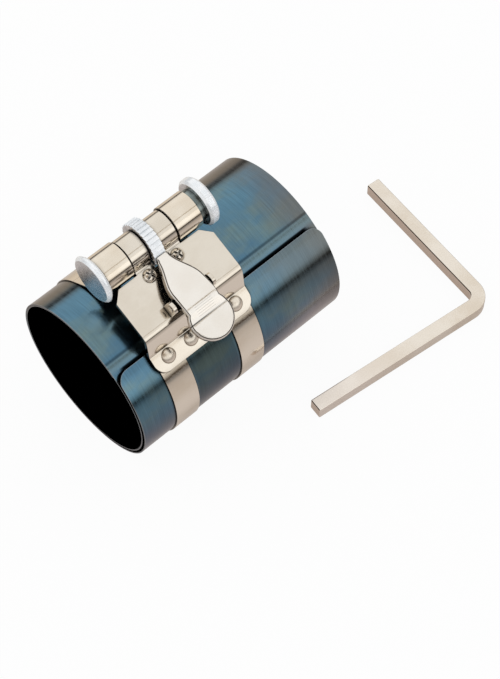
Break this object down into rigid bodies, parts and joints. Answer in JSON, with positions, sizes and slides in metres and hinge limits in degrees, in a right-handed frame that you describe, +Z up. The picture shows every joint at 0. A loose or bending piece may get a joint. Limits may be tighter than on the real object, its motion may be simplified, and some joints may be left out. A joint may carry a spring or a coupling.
{
  "type": "piston ring compressor",
  "caption": "Wound spring-steel sleeve with two tightening bands, a ratchet drum and release lever, and a loose square key, for squeezing piston rings into a cylinder.",
  "frame": {"origin": "middle of the sleeve's bore, on its axis", "axes": "+X along the sleeve towards the end with the key socket, +Z up with the tool lying on its side as in the picture, bracket on top"},
  "size_m": [0.1302, 0.0835, 0.0773],
  "materials": {
    "blued_steel": "blued spring steel with a fine drawn grain",
    "nickel": "bright nickel plate",
    "zinc": "white zinc plate",
    "dark_steel": "dark oiled steel",
    "satin_nickel": "satin nickel plate"
  },
  "bodies": {
    "frame": {"ring_sleeve": "blued_steel", "near_band": "nickel", "far_band": "nickel", "bracket_plate": "nickel", "foot_rivets": "nickel", "knuckle_screws": "nickel", "lever_pin": "nickel", "lever_spring": "zinc"},
    "drum": {"winding_shaft": "dark_steel", "ratchet_wheel": "zinc", "near_flange": "zinc", "far_flange": "zinc", "far_collar": "dark_steel", "near_band_coil": "nickel", "far_band_coil": "nickel"},
    "lever": {"release_lever": "nickel"},
    "key": {"square_key": "satin_nickel"}
  },
  "joints": [
    {"name": "drum_spin", "type": "hinge", "parent": "frame", "child": "drum", "pos_m": [-0.01, 0.00376, 0.04099], "axis": [1, 0, 0], "range_deg": [-60, 1020]},
    {"name": "lever_pivot", "type": "hinge", "parent": "frame", "child": "lever", "pos_m": [-0.01, -0.01715, 0.03747], "axis": [1, 0, 0], "range_deg": [-3.8, 14], "stiffness_Nm_per_rad": 0.05, "deforming": ["lever_spring"]},
    {"name": "key_lift", "type": "slide", "parent": "frame", "child": "key", "axis": [0, 0, 1], "range_m": [0, 0.1]}
  ]
}
